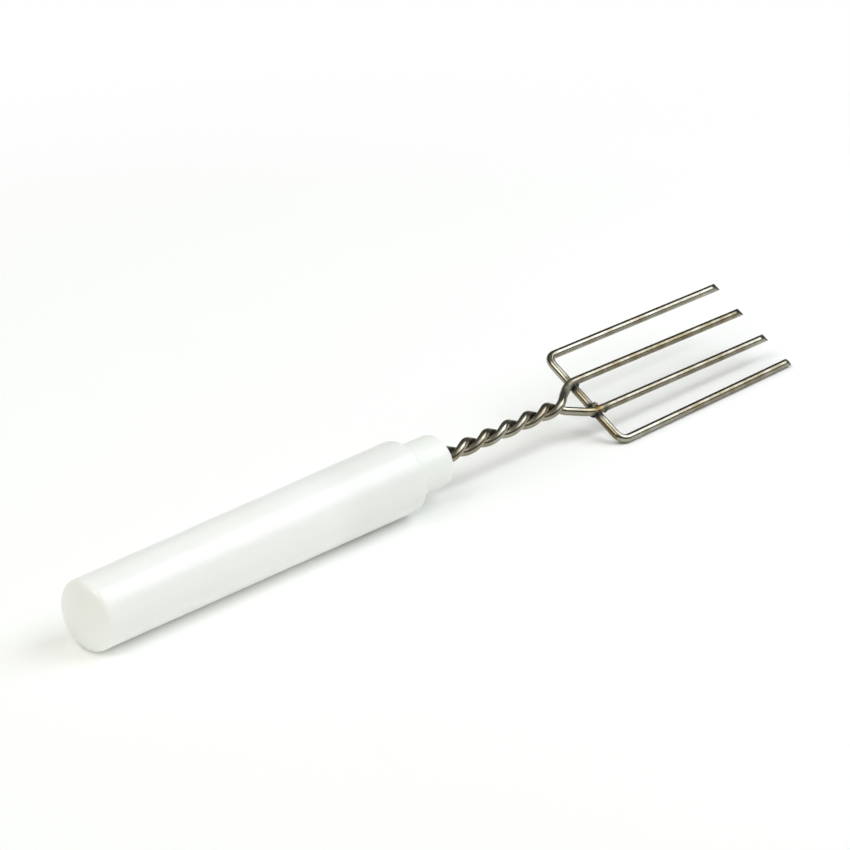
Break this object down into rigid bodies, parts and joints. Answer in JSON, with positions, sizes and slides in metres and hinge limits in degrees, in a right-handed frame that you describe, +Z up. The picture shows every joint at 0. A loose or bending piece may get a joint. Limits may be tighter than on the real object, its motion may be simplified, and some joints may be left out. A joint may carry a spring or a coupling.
{
  "type": "chocolate dipping fork",
  "caption": "Long-handled confectioner's dipping fork: hollow white plastic handle, nose plug, twisted steel wire neck and a welded head of parallel wire tines.",
  "frame": {"origin": "middle of the length and the width, on the table that the fork lies on", "axes": "+X along the handle towards the tips of the tines, +Z up from the table, +Y to the side of the raised outer tine"},
  "size_m": [0.2134, 0.0256, 0.0166],
  "materials": {
    "white_plastic": "semi-gloss moulded",
    "natural_plastic": "semi-gloss moulded, slightly duller than the sleeve",
    "steel_wire": "bright drawn wire"
  },
  "bodies": {
    "root": {"handle_sleeve": "white_plastic", "nose_plug": "natural_plastic", "inner_wire_upper": "steel_wire", "inner_wire_lower": "steel_wire", "outer_wire": "steel_wire"}
  },
  "joints": []
}
